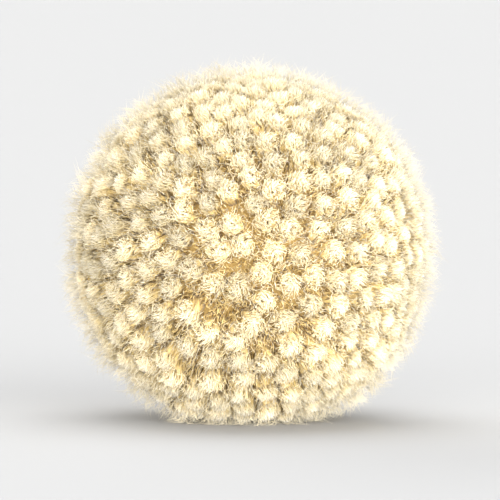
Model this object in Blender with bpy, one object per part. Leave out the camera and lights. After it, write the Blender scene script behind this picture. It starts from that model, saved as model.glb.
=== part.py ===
"""A yarn pom pom, 40 mm across: one solid ball of cut yarn ends, trimmed round, with a small flat spot.

Metres, +Z up. The origin is at the middle of the flat spot that the ball rests on.
"""

import math

import bmesh
import bpy
import numpy as np
from mathutils import Vector

# Driving dimensions
BALL_DIAMETER = 0.040
FOOT_DIAMETER = 0.012  # the flat spot, where the soft ends give under the ball's own weight
YARN_ENDS = 500
END_RISE = 0.0009  # how far the middle of a yarn end stands above the valleys around it
SHOULDER_PLACE = 0.55  # where a yarn end's side steepens, as a share of the way from its middle to a valley
SHOULDER_DROP = 0.2  # how far it has come down by there, as a share of END_RISE
TRIM_WAVER = 0.0003  # how far hand trimming strays from a true ball, over broad patches
TRIM_STEP = 0.00015  # how far one yarn end is cut longer or shorter than the next

# How the ends spread over the ball
SPREAD_SEED = 11
SPREAD_STEPS = 7
CROWDING = 1.25  # ends closer than this many mean spacings push each other apart

YARN_COLOUR = (0.76, 0.62, 0.36, 1.0)
YARN_ROUGHNESS = 0.95

BALL_RADIUS = BALL_DIAMETER / 2
FOOT_ANGLE = math.asin(FOOT_DIAMETER / BALL_DIAMETER)  # from the downward axis to the foot's rim
CENTRE_HEIGHT = BALL_RADIUS * math.cos(FOOT_ANGLE)

# Over the foot the ends are pressed together and the valleys close: shut inside the first of
# these shares of the foot's angle, and full depth outside the second
VALLEYS_SHUT = 0.9
VALLEYS_FULL = 1.5


def clear_scene():
    for old in list(bpy.data.objects):
        bpy.data.objects.remove(old, do_unlink=True)


def yarn_end_directions():
    """Unit vectors to the yarn ends: scattered at first, then pushed apart as packed strands are."""
    chance = np.random.default_rng(SPREAD_SEED)
    ends = chance.normal(size=(YARN_ENDS, 3))
    ends /= np.linalg.norm(ends, axis=1, keepdims=True)
    spacing = math.sqrt(4 * math.pi / YARN_ENDS)
    for _ in range(SPREAD_STEPS):
        apart = ends[:, None] - ends[None]
        distance = np.linalg.norm(apart, axis=2) + np.eye(YARN_ENDS)
        crowding = np.clip(1 - distance / (CROWDING * spacing), 0, None)
        ends += 0.5 * spacing * (apart * (crowding / distance)[..., None]).sum(axis=1)
        ends /= np.linalg.norm(ends, axis=1, keepdims=True)
    return ends


def trimmed_radius(direction):
    """The radius that the scissors left in this direction: a ball with a few broad, shallow lumps."""
    x, y, z = direction
    sideways = math.sin(3.1 * x + 1.3) * math.cos(2.7 * z - 0.4)
    upward = math.sin(4.3 * y - 2.2 * z + 0.7)
    return BALL_RADIUS + TRIM_WAVER * (sideways + upward) / 2


def valley_depth(direction):
    """How far a valley between the yarn ends lies below their middles in this direction."""
    share = direction.angle(Vector((0, 0, -1))) / FOOT_ANGLE
    opening = (share - VALLEYS_SHUT) / (VALLEYS_FULL - VALLEYS_SHUT)
    return END_RISE * min(max(opening, 0), 1)


def ball_vertex(mesh, direction, drop, step):
    """A vertex on the trimmed ball, lowered by a share of the valleys' depth and raised by a trim step."""
    direction = direction.normalized()
    radius = trimmed_radius(direction) - drop * valley_depth(direction) + step
    return mesh.verts.new(direction * radius)


def net_of_ends():
    """Triangles between neighbouring yarn ends. Three domes meet at the middle of each."""
    net = bmesh.new()
    for direction in yarn_end_directions():
        net.verts.new(Vector(direction))
    bmesh.ops.convex_hull(net, input=net.verts[:])
    return net


def lumpy_ball():
    """Each yarn end is a low dome: a middle, shoulders round it, and valleys where it meets the next."""
    net = net_of_ends()
    mesh = bmesh.new()
    chance = np.random.default_rng(SPREAD_SEED + 1)
    valleys = {face: ball_vertex(mesh, face.calc_center_median(), 1, 0) for face in net.faces}
    middles = {}
    shoulders = {}
    for end in net.verts:
        step = TRIM_STEP * chance.uniform(-1, 1)
        middles[end] = ball_vertex(mesh, end.co, 0, step)
        for face in end.link_faces:
            direction = end.co.lerp(face.calc_center_median(), SHOULDER_PLACE)
            shoulders[end, face] = ball_vertex(mesh, direction, SHOULDER_DROP, step)
    for edge in net.edges:
        one, other = edge.link_faces
        for end in edge.verts:
            near = shoulders[end, one]
            far = shoulders[end, other]
            mesh.faces.new((middles[end], near, far))
            mesh.faces.new((near, valleys[one], valleys[other]))
            mesh.faces.new((near, valleys[other], far))
    net.free()
    return mesh


def cut_foot(mesh):
    """Cuts the ball off level at the foot and closes the cut with one flat face."""
    foot = Vector((0, 0, -CENTRE_HEIGHT))
    cut = bmesh.ops.bisect_plane(
        mesh,
        geom=mesh.verts[:] + mesh.edges[:] + mesh.faces[:],
        plane_co=foot,
        plane_no=(0, 0, -1),
        clear_outer=True,
    )
    rim = [item for item in cut["geom_cut"] if isinstance(item, bmesh.types.BMEdge)]
    bmesh.ops.edgeloop_fill(mesh, edges=rim)
    bmesh.ops.triangulate(mesh, faces=[face for face in mesh.faces if len(face.verts) > 3])
    bmesh.ops.recalc_face_normals(mesh, faces=mesh.faces[:])


def yarn_material():
    material = bpy.data.materials.new("yarn")
    material.use_nodes = True
    shader = material.node_tree.nodes["Principled BSDF"]
    shader.inputs["Base Color"].default_value = YARN_COLOUR
    shader.inputs["Roughness"].default_value = YARN_ROUGHNESS
    shader.inputs["Metallic"].default_value = 0.0
    return material


def build_yarn_ball():
    solid = lumpy_ball()
    cut_foot(solid)
    mesh = bpy.data.meshes.new("yarn_ball")
    solid.to_mesh(mesh)
    solid.free()
    mesh.shade_smooth()
    mesh.set_sharp_from_angle(angle=math.radians(60))
    mesh.materials.append(yarn_material())
    ball = bpy.data.objects.new("yarn_ball", mesh)
    ball.location = (0, 0, CENTRE_HEIGHT)
    bpy.context.scene.collection.objects.link(ball)
    return ball


clear_scene()
build_yarn_ball()
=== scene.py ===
"""A yarn pom pom as it looks: hundreds of cut yarn ends, each of four plies that open into fine fibres.

Metres, +Z up. The ball stands on its flat spot at the origin.
"""

import math

import bpy
import numpy as np
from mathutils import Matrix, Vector


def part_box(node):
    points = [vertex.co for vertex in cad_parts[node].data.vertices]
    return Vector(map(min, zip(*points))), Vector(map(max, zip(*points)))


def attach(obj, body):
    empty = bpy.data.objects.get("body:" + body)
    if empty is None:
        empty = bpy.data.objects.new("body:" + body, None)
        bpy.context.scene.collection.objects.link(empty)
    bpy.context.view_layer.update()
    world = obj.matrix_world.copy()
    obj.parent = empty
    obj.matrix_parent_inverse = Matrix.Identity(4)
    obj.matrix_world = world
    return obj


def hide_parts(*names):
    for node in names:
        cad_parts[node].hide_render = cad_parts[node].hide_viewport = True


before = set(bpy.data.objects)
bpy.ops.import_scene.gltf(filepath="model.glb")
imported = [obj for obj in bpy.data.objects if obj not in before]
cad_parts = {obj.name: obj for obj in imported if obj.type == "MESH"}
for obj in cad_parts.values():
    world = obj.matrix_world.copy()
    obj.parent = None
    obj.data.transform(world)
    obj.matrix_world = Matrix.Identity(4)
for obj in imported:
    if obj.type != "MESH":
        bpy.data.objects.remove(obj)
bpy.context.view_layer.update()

BODY = "root"
NODE = "yarn_ball"

# The ball, from the frame
LOW, HIGH = (np.array(corner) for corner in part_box(NODE))
BALL_RADIUS = float((HIGH - LOW)[:2].mean()) / 2
FOOT_RADIUS = 0.006  # of the flat spot that it stands on
CENTRE = np.array([0.0, 0.0, math.sqrt(BALL_RADIUS**2 - FOOT_RADIUS**2)])
FLOOR_GAP = 0.00002  # nothing reaches lower than this above the floor
ALMOST_LEVEL = 1e-6  # a direction that points down by less than this counts as meeting the floor far off

# Yarn ends and how they spread over the ball
YARN_ENDS = 500
SPREAD_SEED = 11
SPREAD_STEPS = 7
CROWDING = 1.25  # ends closer than this many mean spacings push each other apart
PUSH = 0.5  # how strongly they do, in mean spacings at each step
CELL_RADIUS = BALL_RADIUS * 2 / math.sqrt(YARN_ENDS)  # of the disc that one yarn end has on the ball

# Hand trimming
TRIM_WAVER = 0.0003  # how far it strays from a true ball, over broad patches
TRIM_STEP = 0.00022  # how far one yarn end is cut longer or shorter than the next
TRIM_TILT = 0.10  # slope of one end's cut against the ball

# One yarn, whose plies reach from deep in the ball up to where they open into fibres
PLIES = 4
PLY_SIDES = 5
PLY_ORBIT = 0.00078  # from the yarn's axis to each ply's axis
PLY_DEPTHS = np.array([0.0045, 0.0015])  # of a ply's lower and upper end
PLY_RADII = np.array([0.00068, 0.00050])  # at those ends
YARN_TWIST = 2 * math.pi / 0.012  # radians for each metre of depth: one turn in 12 mm
YARN_LEAN = 0.10  # the most that a yarn leans, as sideways travel for each metre of depth
YARN_TINTS = (0.40, 1.05)  # from the darkest yarn to the lightest, where the map holds 0 to MAP_TOP
YARN_SEED = 100  # of the first sector of the ball. The others count on from it

# How widely each cut yarn opens into a puff
PUFF_SIZES = (0.74, 1.0)  # from the smallest puff to the largest, as shares of a yarn's room
NEIGHBOURS = 5  # the nearest ends, whose distance gives a yarn its room
ROOM_POWER = 1.5  # how strongly the room counts
FULLER = 0.14  # how much wider than the average the yarns open on the ball's fuller side
FULL_SIDE = (0.6, -0.3, 0.75)  # the direction of that side

# A fibre is pointed at both ends, and it is bent at its middle, where it has corners all round
FIBRE_SIDES = 3
FIBRE_VERTS = FIBRE_SIDES + 2
FIBRE_TINT = 0.1  # how far its tint strays from its yarn's

# The puff. Its fibres leave their plies at the root, turn outwards at the bend and end at the top, and the
# spreads at the bend and the top are shares of the puff's radius
PUFF_FIBRES = 185  # for each yarn
PUFF_WIDTH = 0.00009
PUFF_ROOTS = (0.0016, 0.0036)  # from the shallowest to the deepest
PUFF_ROOT_SPREAD = 0.0007  # in metres
PUFF_BENDS = (0.0004, 0.0014)  # from the shallowest to the deepest
PUFF_BEND_ORBIT = 0.95  # of the middle of a ply's fibres round the yarn's axis, as a share of PLY_ORBIT
PUFF_BEND_SPREAD = 0.45
PUFF_TOP_ORBIT = 0.5  # the same, as a share of the puff's radius
PUFF_TOP_SPREAD = 0.48
PUFF_TOP_STRAY = 0.15  # how much further each top strays by itself
PUFF_DOME = 0.0007  # how much lower a puff's rim lies than its middle
PUFF_SCATTER = 0.0001  # how unevenly high the tops are
PUFF_PAINTED_SHADE = 0.3  # painted shade: how much darker a puff's rim is tinted than its middle, where the gaps shade it
PUFF_EVEN = 0.5  # the share of the puff's radius at which a fibre is tinted as its yarn is

# Loose fibres that cross between the puffs
CROSS_FIBRES = 35  # for each yarn
CROSS_WIDTH = 0.00007
CROSS_FEET = 1.15  # how far from the yarn's axis they start, as a share of the puff's radius
CROSS_REACHES = (0.00054, 0.0009)  # how far the middle strays from the foot, and the tip from the middle
CROSS_DEPTHS = ((0.0009, 0.0022), (0.0004, 0.0009), (0.0001, 0.0006))  # of the foot, middle and tip

# Fibres down in the gaps
GAP_SEED = 70
GAP_TRIES = 60000  # random places on the ball, of which some lie in the gaps
GAP_FIBRES = 15000  # as many of those as are used, with one fibre each
GAP_START = 0.80  # a gap is what lies further from every end than this share of CELL_RADIUS
GAP_WIDTH = 0.00016
GAP_FEET = 0.00018  # how far a foot strays from its place
GAP_REACHES = (0.00045, 0.00063)  # how far the middle strays from the foot, and the tip from the middle
GAP_ROOTS = (0.0030, 0.0040)
GAP_BENDS = (0.0016, 0.0026)
GAP_RISES = (0.0003, 0.0009)  # from the middle up to the tip

# Fine hairs that stand out of the ball
STRAY_HAIRS = 55  # for each yarn
STRAY_WIDTH = 0.00004
STRAY_REACH = 0.0022  # the height of the longest
STRAY_SHARES = (0.3, 1.0)  # squared, for the share of it that each hair has, so that most are short
STRAY_ROOTS = (0.0005, 0.0010)
STRAY_BEND = 0.4  # how high the bend is, and how far sideways at most, as a share of the hair's height
STRAY_SINK = 0.0001  # how much lower than that the bend lies
STRAY_PAINTED_SHADE = 0.6  # painted shade: how much darker than its yarn a hair is tinted, which darkens the haze at the ball's outline
STRAY_NEARNESS = 0.88  # a lone hair lets light through, so it is coloured as if it lay a little deeper

# The strands packed below the cut ends
CORE_DETAIL = 6  # subdivisions of the ball that it is made from: 20,480 triangles
CORE_DEPTH = 0.0030  # at the middle of a yarn
CORE_FURROW = 0.0006  # how much deeper it is at CELL_RADIUS from there
CORE_SEED = 90
CORE_TINTS = (0.6, 1.0)

# The map of each piece: tint across it, and nearness to the cut surface up it
UV_MAP = "OFBake"
MAP_TOP = 0.99  # the most that a tint or a nearness counts
MAP_NUDGE = [[0.0, 0.0], [0.004, 0.0], [0.002, 0.003]]  # parts a triangle's corners there, for an area

# Colours
PAINTED_SHADE_DEPTH = 0.0036  # the depth over which the painted shade deepens the colour, and over which the roughness changes
YARN_PAINTED_SHADE_AND_HIGHLIGHT = {  # by nearness: painted shade, darker and more golden down between the ends, up to a painted highlight of near-white cream at the cut tips
    0.15: (0.38, 0.25, 0.08),
    0.54: (0.51, 0.365, 0.13),
    0.79: (0.71, 0.57, 0.30),
    0.91: (0.88, 0.78, 0.56),
    0.98: (0.99, 0.955, 0.87),
}
TINT_BRIGHTNESS = (0.50, 1.12)  # by tint, from 0 to 1
YARN_ROUGHNESS = (1.0, 0.82)  # by nearness, from 0 to 1
YARN_SHEEN = 0.2
YARN_SHEEN_ROUGHNESS = 0.5


def unit(vectors):
    return vectors / np.linalg.norm(vectors, axis=-1, keepdims=True)


def polar(radius, angle):
    return np.stack([radius * np.cos(angle), radius * np.sin(angle)], axis=-1)


def disc(chance, *shape):
    """Even random points on a unit disc."""
    turn = chance.uniform(0, 2 * math.pi, shape)
    out = np.sqrt(chance.uniform(0, 1, shape))
    return polar(out, turn)


def nearness_at(depth):
    """1 at the cut surface and above it, down to 0 at PAINTED_SHADE_DEPTH below it."""
    # the yarn's colour ramp paints shade by this: the lower the nearness, the darker and more golden
    return np.clip(1 - depth / PAINTED_SHADE_DEPTH, 0, 1)


def yarn_end_directions():
    """Unit vectors to the yarn ends: scattered at first, then pushed apart as packed strands are."""
    ends = unit(np.random.default_rng(SPREAD_SEED).normal(size=(YARN_ENDS, 3)))
    spacing = math.sqrt(4 * math.pi / YARN_ENDS)
    for _ in range(SPREAD_STEPS):
        apart = ends[:, None] - ends[None]
        distance = np.linalg.norm(apart, axis=2) + np.eye(YARN_ENDS)
        crowding = np.clip(1 - distance / (CROWDING * spacing), 0, None)
        ends = unit(ends + PUSH * spacing * (apart * (crowding / distance)[..., None]).sum(axis=1))
    return ends


def gap_directions(ends):
    """Unit vectors to places in the gaps between the yarn ends."""
    tries = unit(np.random.default_rng(GAP_SEED).normal(size=(GAP_TRIES, 3)))
    away = np.arccos((tries @ ends.T).max(axis=1)) * BALL_RADIUS / CELL_RADIUS
    return tries[away > GAP_START][:GAP_FIBRES]


def room_of(ends):
    """How widely each yarn end opens, against the average: more where its neighbours stand further off,
    and on the ball's fuller side."""
    away = np.arccos(np.clip(ends @ ends.T, -1, 1))
    away = np.sort(away, axis=1)[:, 1 : NEIGHBOURS + 1].mean(axis=1)
    fuller = 1 + FULLER * ends @ unit(np.array(FULL_SIDE))
    return (away / away.mean()) ** ROOM_POWER * fuller


def trimmed_radius(directions):
    """The radius that the scissors left: a ball with a few broad, shallow lumps. The numbers in the waves
    only say where the lumps lie."""
    x, y, z = np.moveaxis(directions, -1, 0)
    sideways = np.sin(3.1 * x + 1.3) * np.cos(2.7 * z - 0.4)
    upward = np.sin(4.3 * y - 2.2 * z + 0.7)
    return BALL_RADIUS + TRIM_WAVER * (sideways + upward) / 2


class Yarns:
    """A group of yarn ends, or of places in the gaps: where each one points, and how it differs from the
    next. out, across and along are unit vectors, and puff is the radius that the yarn opens to."""

    def __init__(self, directions, chance, room=1.0):
        count = len(directions)
        self.count = count
        self.out = directions
        self.across = unit(np.cross(directions, chance.normal(size=(count, 3))))
        self.along = np.cross(directions, self.across)
        self.step = chance.normal(0, TRIM_STEP, count)
        self.tilt = chance.normal(0, TRIM_TILT, (count, 2))
        self.lean = YARN_LEAN * disc(chance, count)
        self.phase = chance.uniform(0, 2 * math.pi, count)
        self.puff = CELL_RADIUS * room * chance.uniform(*PUFF_SIZES, count)
        self.tint = chance.uniform(*YARN_TINTS, count)

    def spread(self, values, depth):
        """The values of each yarn, shaped to go with depths of (yarns, ...)."""
        return values.reshape(self.count, *(1,) * (depth.ndim - 1), *values.shape[1:])

    def place(self, offset, depth):
        """Points at this depth below the trimmed ball, moved sideways by offset as measured at its surface.
        offset is (yarns, ..., 2) and depth is (yarns, ...)."""
        offset = offset - self.spread(self.lean, depth) * depth[..., None]
        across = offset[..., :1] / BALL_RADIUS
        along = offset[..., 1:] / BALL_RADIUS
        direction = unit(
            self.spread(self.out, depth)
            + self.spread(self.across, depth) * across
            + self.spread(self.along, depth) * along
        )
        top = trimmed_radius(direction) + self.spread(self.step, depth)
        top = top + (offset * self.spread(self.tilt, depth)).sum(axis=-1)
        to_floor = (CENTRE[2] - FLOOR_GAP) / np.maximum(-direction[..., 2], ALMOST_LEVEL)
        points = CENTRE + direction * (np.minimum(top, to_floor) - depth)[..., None]
        points[..., 2] = np.maximum(points[..., 2], FLOOR_GAP)
        return points


def ply_offset(yarns, ply, depth):
    """Where a ply's axis lies across its yarn at this depth."""
    angle = yarns.spread(yarns.phase, depth) + 2 * math.pi * ply / PLIES + YARN_TWIST * depth
    return polar(np.full_like(depth, PLY_ORBIT), angle)


def spokes(first, second, number):
    """Unit vectors round a strand, from two that lie across it: (strands, number, 3)."""
    angles = 2 * math.pi * np.arange(number) / number
    return np.cos(angles)[:, None] * first[:, None] + np.sin(angles)[:, None] * second[:, None]


def tubes(axis, radius, first, second):
    """Vertices and faces of closed tapered tubes. axis is (tubes, rings, 3), radius is (tubes, rings), and
    first and second are unit vectors across each tube."""
    count, rings = radius.shape
    sides = PLY_SIDES
    verts = axis[:, :, None] + spokes(first, second, sides)[:, None] * radius[:, :, None, None]
    start = np.arange(count)[:, None] * rings * sides
    faces = []
    for ring in range(rings - 1):
        for corner in range(sides):
            here = ring * sides + corner
            following = ring * sides + (corner + 1) % sides
            faces.append(start + np.array([here, following, following + sides]))
            faces.append(start + np.array([here, following + sides, here + sides]))
    last = (rings - 1) * sides
    for corner in range(1, sides - 1):
        faces.append(start + np.array([0, corner + 1, corner]))
        faces.append(start + np.array([last, last + corner, last + corner + 1]))
    return verts.reshape(-1, 3), np.stack(faces, axis=1).reshape(-1, 3)


def slivers(axis, width, chance):
    """Vertices and faces of closed fibres: pointed at both ends, three-sided at the middle, and bent there.
    axis is (fibres, 3, 3): root, middle and tip."""
    along = unit(axis[:, 2] - axis[:, 0])
    first = unit(np.cross(along, chance.normal(size=along.shape)))
    middle = axis[:, 1:2] + spokes(first, np.cross(along, first), FIBRE_SIDES) * width / 2
    verts = np.concatenate([axis[:, :1], middle, axis[:, 2:]], axis=1).reshape(-1, 3)
    verts[:, 2] = np.maximum(verts[:, 2], FLOOR_GAP)
    start = FIBRE_VERTS * np.arange(len(axis))[:, None]
    tip = FIBRE_VERTS - 1
    pairs = [(1 + corner, 1 + (corner + 1) % FIBRE_SIDES) for corner in range(FIBRE_SIDES)]
    faces = [start + np.array([0, following, here]) for here, following in pairs]
    faces += [start + np.array([tip, here, following]) for here, following in pairs]
    return verts, np.stack(faces, axis=1).reshape(-1, 3)


def plies_of(yarns):
    """The twisted plies, up to where they open into fibres."""
    depth = np.tile(PLY_DEPTHS, (yarns.count, 1))
    radius = np.tile(PLY_RADII, (yarns.count, 1))
    tint = np.repeat(yarns.tint, PLY_DEPTHS.size * PLY_SIDES)
    nearness = np.repeat(nearness_at(depth).ravel(), PLY_SIDES)
    parts = []
    for ply in range(PLIES):
        axis = yarns.place(ply_offset(yarns, ply, depth), depth)
        verts, faces = tubes(axis, radius, yarns.across, yarns.along)
        parts.append((verts, faces, tint, nearness))
    return parts


def fibres(yarns, chance, width, offsets, depths, painted_lighter=0.0):
    """One part of a piece: a group's fibres, from the offsets and the depths of their roots, middles and
    tips. The last argument is how much lighter than its yarn each one is tinted: painted light where it is
    above 0, painted shade where it is below."""
    axis = np.stack([yarns.place(offset, depth) for offset, depth in zip(offsets, depths)], axis=2)
    verts, faces = slivers(axis.reshape(-1, 3, 3), width, chance)
    own = chance.uniform(-FIBRE_TINT, FIBRE_TINT, axis.shape[:2])
    tint = np.repeat(yarns.tint[:, None] + painted_lighter + own, FIBRE_VERTS)
    root, middle, tip = (nearness_at(depth).ravel() for depth in depths)
    nearness = np.stack([root, *[middle] * FIBRE_SIDES, tip], axis=1).ravel()
    return verts, faces, tint, nearness


def strayed(feet, chance, bend_reach, tip_reach):
    """Offsets of loose fibres' feet, middles and tips: the middles stray from the feet, and the tips from
    the middles."""
    shape = feet.shape[:-1]
    middles = feet + disc(chance, *shape) * bend_reach
    tips = middles + disc(chance, *shape) * tip_reach
    return feet, middles, tips


def puffs_of(yarns, chance):
    """Each fibre rises beside its ply, then opens out to its place in the puff."""
    shape = (yarns.count, PUFF_FIBRES)
    ply = chance.integers(0, PLIES, shape)
    inside = disc(chance, *shape)
    root = chance.uniform(*PUFF_ROOTS, shape)
    bend = chance.uniform(*PUFF_BENDS, shape)
    puff = yarns.puff[:, None, None]
    to_ply = ply_offset(yarns, ply, np.zeros(shape)) / PLY_ORBIT
    low = ply_offset(yarns, ply, root) + inside * PUFF_ROOT_SPREAD
    middle = ply_offset(yarns, ply, bend) * PUFF_BEND_ORBIT + inside * PUFF_BEND_SPREAD * puff
    high = (
        to_ply * PUFF_TOP_ORBIT * puff
        + inside * PUFF_TOP_SPREAD * puff
        + disc(chance, *shape) * PUFF_TOP_STRAY * puff
    )
    share = np.linalg.norm(high, axis=-1) / yarns.puff[:, None]
    top = PUFF_DOME * share**2 + chance.normal(0, PUFF_SCATTER, shape)
    # painted light and shade: the puff's middle is tinted lighter than its yarn, and its rim darker
    painted_lighter = PUFF_PAINTED_SHADE * (PUFF_EVEN - share)
    return fibres(yarns, chance, PUFF_WIDTH, [low, middle, high], [root, bend, top], painted_lighter)


def crossings_of(yarns, chance):
    """Loose fibres that lie over the rims of the puffs and across the gaps between them."""
    shape = (yarns.count, CROSS_FIBRES)
    feet = disc(chance, *shape) * CROSS_FEET * yarns.puff[:, None, None]
    offsets = strayed(feet, chance, *CROSS_REACHES)
    depths = [chance.uniform(*span, shape) for span in CROSS_DEPTHS]
    return fibres(yarns, chance, CROSS_WIDTH, offsets, depths)


def gap_fibres_of(gaps, chance):
    """Fibres that fill the bottom of the gaps, one for each place."""
    shape = (gaps.count, 1)
    offsets = strayed(disc(chance, *shape) * GAP_FEET, chance, *GAP_REACHES)
    root = chance.uniform(*GAP_ROOTS, shape)
    bend = chance.uniform(*GAP_BENDS, shape)
    tip = bend - chance.uniform(*GAP_RISES, shape)
    return fibres(gaps, chance, GAP_WIDTH, offsets, [root, bend, tip])


def strays_of(yarns, chance):
    """The haze of fine hairs that stand out of the trimmed surface: many short ones and a few long ones."""
    shape = (yarns.count, STRAY_HAIRS)
    height = STRAY_REACH * chance.uniform(*STRAY_SHARES, shape) ** 2
    feet = disc(chance, *shape) * yarns.puff[:, None, None]
    offsets = strayed(feet, chance, STRAY_BEND * height[..., None], height[..., None])
    root = chance.uniform(*STRAY_ROOTS, shape)
    depths = [root, STRAY_SINK - STRAY_BEND * height, -height]
    # painted shade: the hairs are tinted darker than their yarns
    verts, faces, tint, nearness = fibres(yarns, chance, STRAY_WIDTH, offsets, depths, -STRAY_PAINTED_SHADE)
    return verts, faces, tint, np.minimum(nearness, STRAY_NEARNESS)


def write_map(mesh, faces, tint, nearness):
    """Gives each corner of each triangle the tint and the nearness of its vertex, on the mesh's map."""
    corner = faces.ravel()
    place = np.stack([tint[corner], nearness[corner]], axis=1)
    place = np.clip(place, 0.0, MAP_TOP) + np.tile(MAP_NUDGE, (len(faces), 1))
    layer = mesh.uv_layers.new(name=UV_MAP)
    layer.uv.foreach_set("vector", place.astype(np.float32).ravel())


def make_piece(name, parts, material):
    """One mesh object from (vertices, triangles, tint of each vertex, nearness of each vertex) parts."""
    starts = np.cumsum([0] + [len(part[0]) for part in parts])
    verts = np.concatenate([part[0] for part in parts])
    faces = np.concatenate([part[1] + start for part, start in zip(parts, starts)])
    tint = np.concatenate([part[2] for part in parts])
    nearness = np.concatenate([part[3] for part in parts])
    mesh = bpy.data.meshes.new(name)
    mesh.vertices.add(len(verts))
    mesh.vertices.foreach_set("co", verts.ravel())
    mesh.loops.add(faces.size)
    mesh.loops.foreach_set("vertex_index", faces.ravel())
    mesh.polygons.add(len(faces))
    mesh.polygons.foreach_set("loop_start", np.arange(len(faces)) * 3)
    mesh.update(calc_edges=True)
    mesh.shade_smooth()
    write_map(mesh, faces, tint, nearness)
    mesh.materials.append(material)
    piece = bpy.data.objects.new(name, mesh)
    bpy.context.scene.collection.objects.link(piece)
    return piece


def add_colour_ramp(nodes, colours):
    ramp = nodes.new("ShaderNodeValToRGB")
    stops = ramp.color_ramp.elements
    for number, (position, colour) in enumerate(colours.items()):
        stop = stops[number] if number < 2 else stops.new(position)  # a new ramp has two stops
        stop.position = position
        stop.color = (*colour, 1)
    return ramp


def add_range(nodes, ends):
    """A node that turns 0 to 1 into the range between these two ends."""
    ranged = nodes.new("ShaderNodeMapRange")
    ranged.inputs["To Min"].default_value, ranged.inputs["To Max"].default_value = ends
    return ranged


def yarn_material():
    """Pale yellow yarn, with a painted highlight of cream at the cut tips and painted shade, deeper and
    warmer, down between the ends.
    """
    material = bpy.data.materials.new("yarn")
    material.use_nodes = True
    nodes, links = material.node_tree.nodes, material.node_tree.links
    shader = nodes["Principled BSDF"]
    place = nodes.new("ShaderNodeUVMap")
    place.uv_map = UV_MAP
    split = nodes.new("ShaderNodeSeparateXYZ")
    links.new(place.outputs["UV"], split.inputs["Vector"])
    tint, nearness = split.outputs["X"], split.outputs["Y"]
    # painted shade and highlight: the colour runs from dark gold deep down to cream at the cut surface
    ramp = add_colour_ramp(nodes, YARN_PAINTED_SHADE_AND_HIGHLIGHT)
    links.new(nearness, ramp.inputs["Fac"])
    bright = add_range(nodes, TINT_BRIGHTNESS)
    links.new(tint, bright.inputs["Value"])
    tone = nodes.new("ShaderNodeHueSaturation")
    links.new(bright.outputs["Result"], tone.inputs["Value"])
    links.new(ramp.outputs["Color"], tone.inputs["Color"])
    links.new(tone.outputs["Color"], shader.inputs["Base Color"])
    rough = add_range(nodes, YARN_ROUGHNESS)
    links.new(nearness, rough.inputs["Value"])
    links.new(rough.outputs["Result"], shader.inputs["Roughness"])
    shader.inputs["Sheen Weight"].default_value = YARN_SHEEN
    shader.inputs["Sheen Roughness"].default_value = YARN_SHEEN_ROUGHNESS
    return material


def unit_ball():
    """Points and triangles of an even ball of radius 1."""
    bpy.ops.mesh.primitive_ico_sphere_add(subdivisions=CORE_DETAIL, radius=1)
    ball = bpy.context.object
    points = unit(np.array([vert.co for vert in ball.data.vertices]))
    faces = np.array([face.vertices for face in ball.data.polygons])
    bpy.data.objects.remove(ball, do_unlink=True)
    return points, faces


def make_core(directions, material):
    """The strands packed below the cut ends, which close the gaps: a rounded top for each yarn."""
    points, faces = unit_ball()
    near = points @ directions.T
    owner = near.argmax(axis=1)
    away = np.arccos(np.clip(near.max(axis=1), -1, 1)) * BALL_RADIUS / CELL_RADIUS
    depth = CORE_DEPTH + CORE_FURROW * away**2
    verts = CENTRE + points * (trimmed_radius(points) - depth)[:, None]
    tint = np.random.default_rng(CORE_SEED).uniform(*CORE_TINTS, YARN_ENDS)[owner]
    # painted shade: the core lies deep, so the colour ramp paints it dark golden
    return make_piece("yarn_core", [(verts, faces, tint, nearness_at(depth))], material)


# The yarn ends are made in six pieces, one for each side of the ball
SECTORS = {
    "right": (1, 0, 0),
    "left": (-1, 0, 0),
    "back": (0, 1, 0),
    "front": (0, -1, 0),
    "top": (0, 0, 1),
    "bottom": (0, 0, -1),
}


def sector_of(directions):
    return (directions @ np.array(list(SECTORS.values())).T).argmax(axis=1)


def make_yarn_ends(directions, material):
    gaps = gap_directions(directions)
    room = room_of(directions)
    made = []
    for number, side in enumerate(SECTORS):
        chance = np.random.default_rng(YARN_SEED + number)
        here = sector_of(directions) == number
        yarns = Yarns(directions[here], chance, room[here])
        parts = plies_of(yarns)
        for make in (puffs_of, crossings_of, strays_of):
            parts.append(make(yarns, chance))
        gap_places = Yarns(gaps[sector_of(gaps) == number], chance)
        parts.append(gap_fibres_of(gap_places, chance))
        made.append(make_piece("yarn_ends_" + side, parts, material))
    return made


# The floor and the lights
FLOOR_COLOUR = (0.389, 0.389, 0.389)
FLOOR_SIDES = 64
FLOOR_RADIUS = 30.0
FLOOR_ROUGHNESS = 0.8
WORLD_LIGHT = 0.6
BACKGROUND = 0.865  # as bright as the lit floor, so that no horizon shows
SUNS = {  # from the ball, the direction to each of the wide lights, and its strength
    "key": ((0.75, -1.0, 0.05), 6.2),
    "fill": ((0.0, -1.0, 0.05), 6.8),
    "back": ((-0.5, 1.0, 0.05), 6.0),
    "top": ((0.0, 0.2, 1.0), 2.5),
}
SUN_WIDTH = math.radians(60)


def make_floor():
    bpy.ops.mesh.primitive_circle_add(
        vertices=FLOOR_SIDES, radius=FLOOR_RADIUS, fill_type="NGON", location=(0, 0, 0)
    )
    floor = bpy.context.object
    floor.name = "floor"
    material = bpy.data.materials.new("floor")
    material.use_nodes = True
    shader = material.node_tree.nodes["Principled BSDF"]
    shader.inputs["Base Color"].default_value = (*FLOOR_COLOUR, 1)
    shader.inputs["Roughness"].default_value = FLOOR_ROUGHNESS
    shader.inputs["Specular IOR Level"].default_value = 0.0
    floor.data.materials.append(material)
    floor.visible_shadow = False  # light reaches the ball through the floor too, as on a light table


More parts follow.
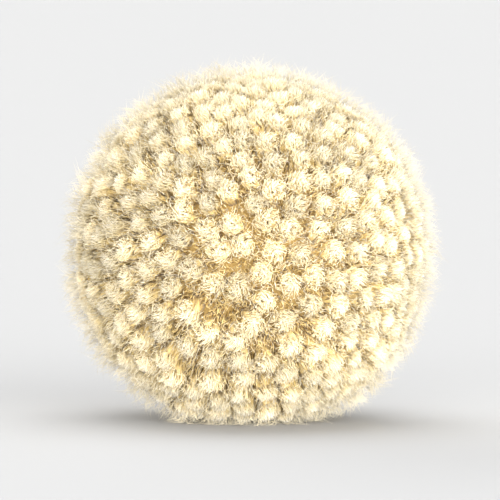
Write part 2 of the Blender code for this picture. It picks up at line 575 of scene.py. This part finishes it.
def make_sun(name, place, strength):
    light = bpy.data.lights.new(name, "SUN")
    light.energy = strength
    light.angle = SUN_WIDTH
    lamp = bpy.data.objects.new(name, light)
    lamp.rotation_euler = (-Vector(place)).to_track_quat("-Z", "Y").to_euler()
    bpy.context.scene.collection.objects.link(lamp)


def make_world():
    """An even white light from all round. The camera sees it as bright as the floor."""
    world = bpy.data.worlds.new("studio")
    bpy.context.scene.world = world
    world.use_nodes = True
    nodes, links = world.node_tree.nodes, world.node_tree.links
    seen = nodes.new("ShaderNodeLightPath")
    pick = nodes.new("ShaderNodeMix")
    pick.inputs["A"].default_value = WORLD_LIGHT
    pick.inputs["B"].default_value = BACKGROUND
    links.new(seen.outputs["Is Camera Ray"], pick.inputs["Factor"])
    light = nodes["Background"]
    light.inputs["Color"].default_value = (1, 1, 1, 1)
    links.new(pick.outputs["Result"], light.inputs["Strength"])


def make_lights():
    for name, (place, strength) in SUNS.items():
        make_sun(name, place, strength)
    make_world()


# The camera, which looks at the middle of the ball
VIEW_ELEVATION = math.radians(3)
VIEW_DISTANCE = 0.6
VIEW_WIDTH = 0.056  # what the picture takes in at the ball
VIEW_NEAREST = 0.01
VIEW_FURTHEST = 10


def make_camera():
    data = bpy.data.cameras.new("camera")
    data.lens = data.sensor_width * VIEW_DISTANCE / VIEW_WIDTH
    data.clip_start = VIEW_NEAREST
    data.clip_end = VIEW_FURTHEST
    camera = bpy.data.objects.new("camera", data)
    back = Vector((0, -math.cos(VIEW_ELEVATION), math.sin(VIEW_ELEVATION)))
    camera.location = Vector(CENTRE) + back * VIEW_DISTANCE
    camera.rotation_euler = (-back).to_track_quat("-Z", "Y").to_euler()
    bpy.context.scene.collection.objects.link(camera)
    bpy.context.scene.camera = camera


make_camera()
make_lights()
make_floor()
ends = yarn_end_directions()
yarn = yarn_material()
core = make_core(ends, yarn)
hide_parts(NODE)
for piece in [core, *make_yarn_ends(ends, yarn)]:
    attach(piece, BODY)
bpy.context.scene.view_settings.view_transform = "Standard"
